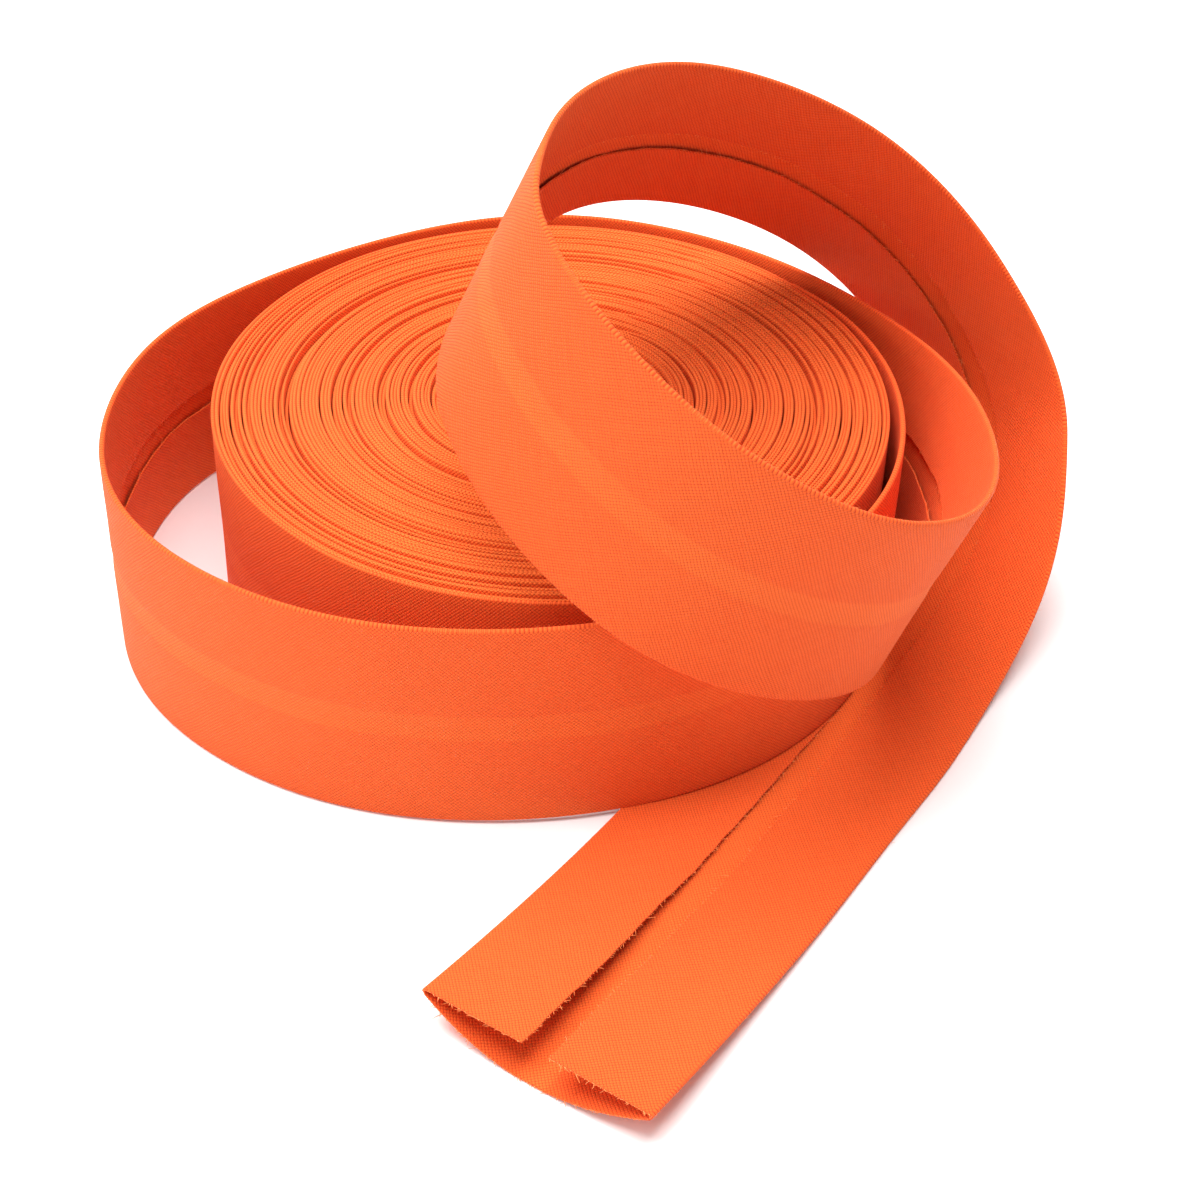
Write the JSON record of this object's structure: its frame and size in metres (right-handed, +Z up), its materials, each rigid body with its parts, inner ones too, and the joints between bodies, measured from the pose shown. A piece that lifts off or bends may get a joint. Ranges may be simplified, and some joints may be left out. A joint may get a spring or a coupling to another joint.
{
  "type": "roll of bias binding",
  "caption": "Wound roll of folded bias binding lying flat, with a loose run looped round and over it to a cut end.",
  "frame": {"origin": "on the floor, under the middle of the object's box", "axes": "+Z up along the roll's axis; +X to the viewer's right and -Y towards the viewer, with the cut end in front"},
  "size_m": [0.1268, 0.145, 0.0774],
  "materials": {
    "wound_turns": "matt plain weave, folded edges packed side by side, orange",
    "folded_cloth": "matt plain weave cut on the bias, pressed folds, orange"
  },
  "bodies": {
    "root": {"wound_roll": "wound_turns", "loose_run": "folded_cloth"}
  },
  "joints": []
}
